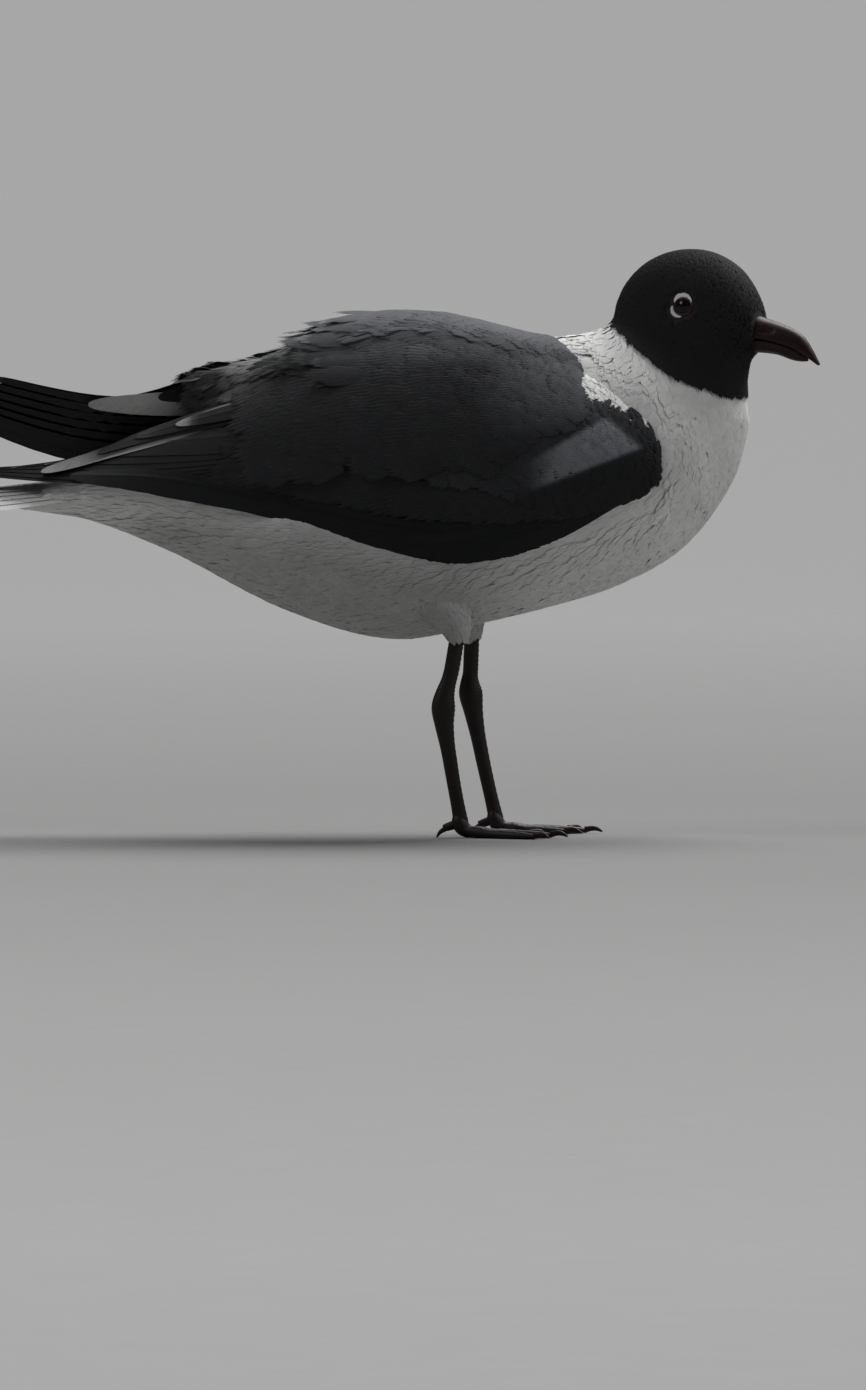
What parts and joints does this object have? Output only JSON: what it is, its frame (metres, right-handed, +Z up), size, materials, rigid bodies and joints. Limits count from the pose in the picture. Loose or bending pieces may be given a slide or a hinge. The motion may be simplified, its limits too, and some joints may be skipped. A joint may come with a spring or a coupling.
{
  "type": "laughing gull",
  "caption": "Laughing gull in summer dress, standing with folded wings, neck drawn in and head turned.",
  "frame": {"origin": "middle of the bird's bounding box, on the floor the feet stand on", "axes": "+X the way the body faces, +Y to the bird's left, +Z up"},
  "size_m": [0.3679, 0.1002, 0.2287],
  "materials": {
    "white_body": "soft white feathers over flesh",
    "white_plumage": "soft white feathers, light and mostly air",
    "slate_plumage": "matt slate-grey feathers",
    "black_plumage": "smooth black wing feathers",
    "black_hood": "short matt black feathers over flesh and bone",
    "bill_horn": "satin dark horn",
    "leg_skin": "dark scaled skin, slightly glossy",
    "eye": "wet gloss"
  },
  "bodies": {
    "root": {"rump": "white_plumage", "belly": "white_body", "breast": "white_body", "neck": "white_body", "mantle": "slate_plumage", "head": "black_hood", "bill_upper": "bill_horn", "bill_lower": "bill_horn", "tail": "white_plumage", "wing_right": "slate_plumage", "wingtip_right": "black_plumage", "eye_right": "eye", "thigh_right": "white_body", "leg_right": "leg_skin", "foot_right": "leg_skin", "wing_left": "slate_plumage", "wingtip_left": "black_plumage", "eye_left": "eye", "thigh_left": "white_body", "leg_left": "leg_skin", "foot_left": "leg_skin"}
  },
  "joints": []
}
